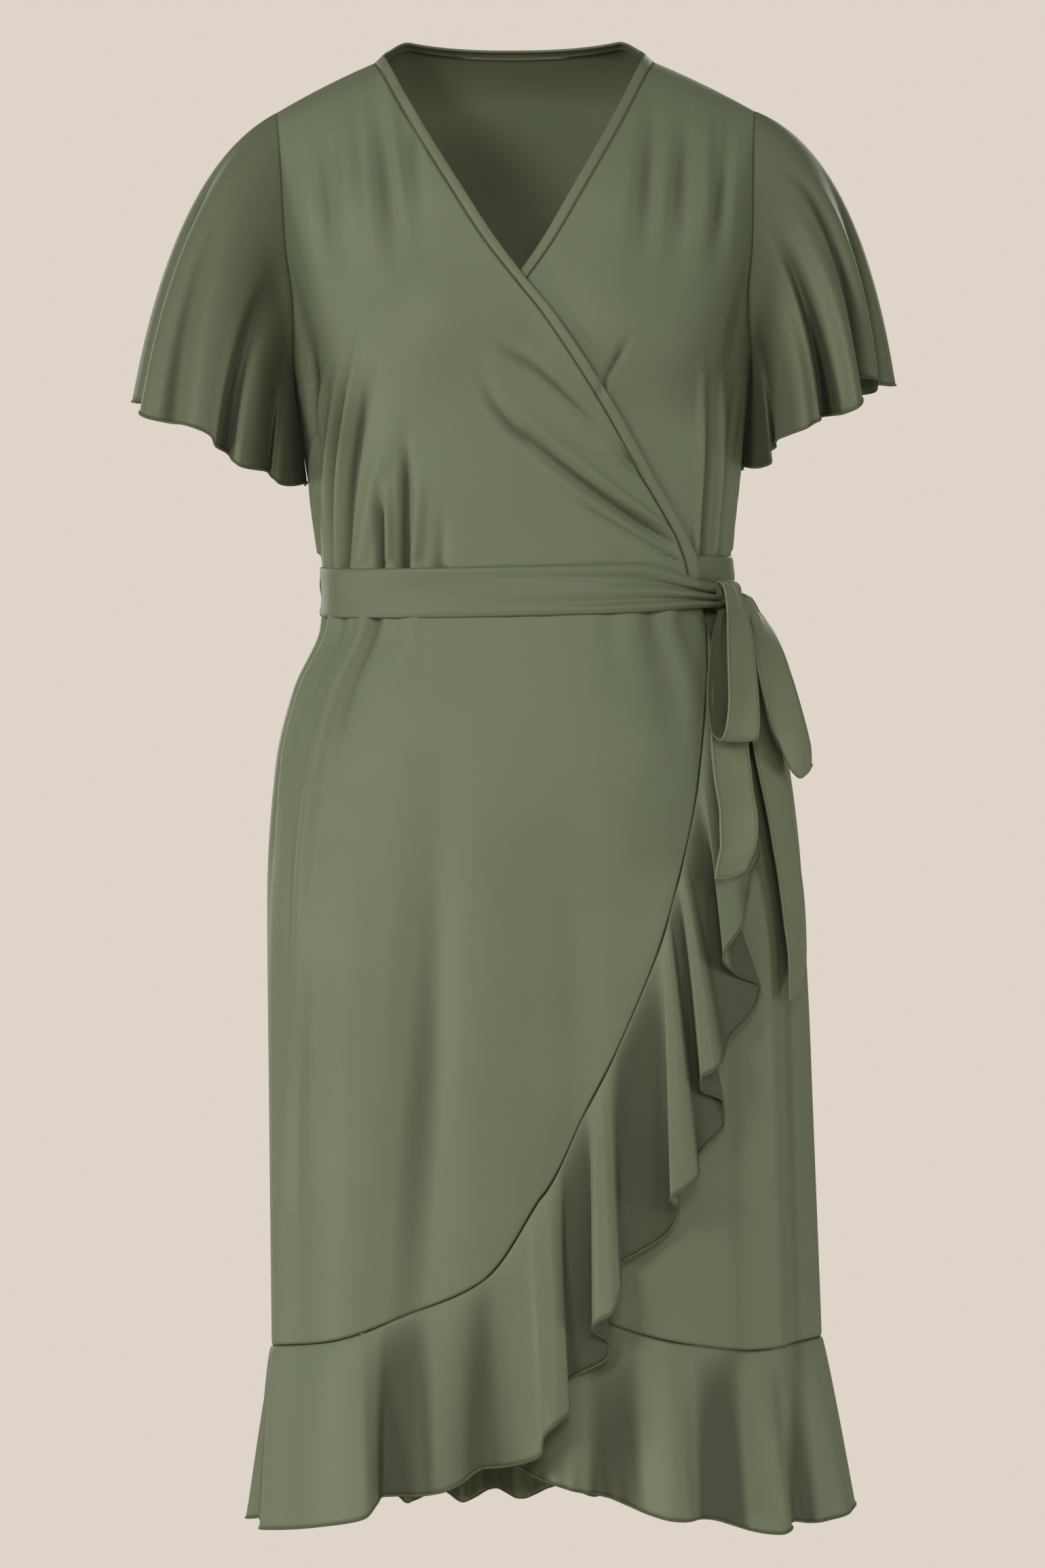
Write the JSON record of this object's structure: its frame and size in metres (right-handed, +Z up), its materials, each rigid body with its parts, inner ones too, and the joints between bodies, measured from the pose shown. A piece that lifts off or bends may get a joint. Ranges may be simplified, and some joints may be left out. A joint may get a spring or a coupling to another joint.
{
  "type": "wrap dress",
  "caption": "Knee-length wrap dress with a V neck, flutter sleeves, a sash tied at the side and a ruffle down the curved wrap edge and round the hem.",
  "frame": {"origin": "midway between the two neck points of the shoulder seams, on the line where the wearer's shoulders hold the dress", "axes": "+Z up, +Y to the back of the dress, so the front faces -Y, and +X to the wearer's left, where the bow is"},
  "size_m": [0.5948, 0.3198, 1.1399],
  "materials": {
    "jersey": "smooth matte jersey with a soft satin sheen",
    "binding": "folded jersey band, stitched",
    "sash_jersey": "smooth matte jersey, double layer"
  },
  "bodies": {
    "root": {"bodice_front_right": "jersey", "bodice_front_left": "jersey", "bodice_back": "jersey", "neck_band_right": "binding", "neck_band_left": "binding", "neck_band_back": "binding", "sleeve_right": "jersey", "sleeve_left": "jersey", "skirt_front_right": "jersey", "skirt_front_left": "jersey", "skirt_back": "jersey", "ruffle_front_right": "jersey", "ruffle_front_left": "jersey", "ruffle_back": "jersey", "sash_front": "sash_jersey", "sash_back": "sash_jersey", "sash_knot": "sash_jersey", "bow_loop_front": "sash_jersey", "bow_loop_side": "sash_jersey", "sash_tail_front": "sash_jersey", "sash_tail_side": "sash_jersey"}
  },
  "joints": []
}
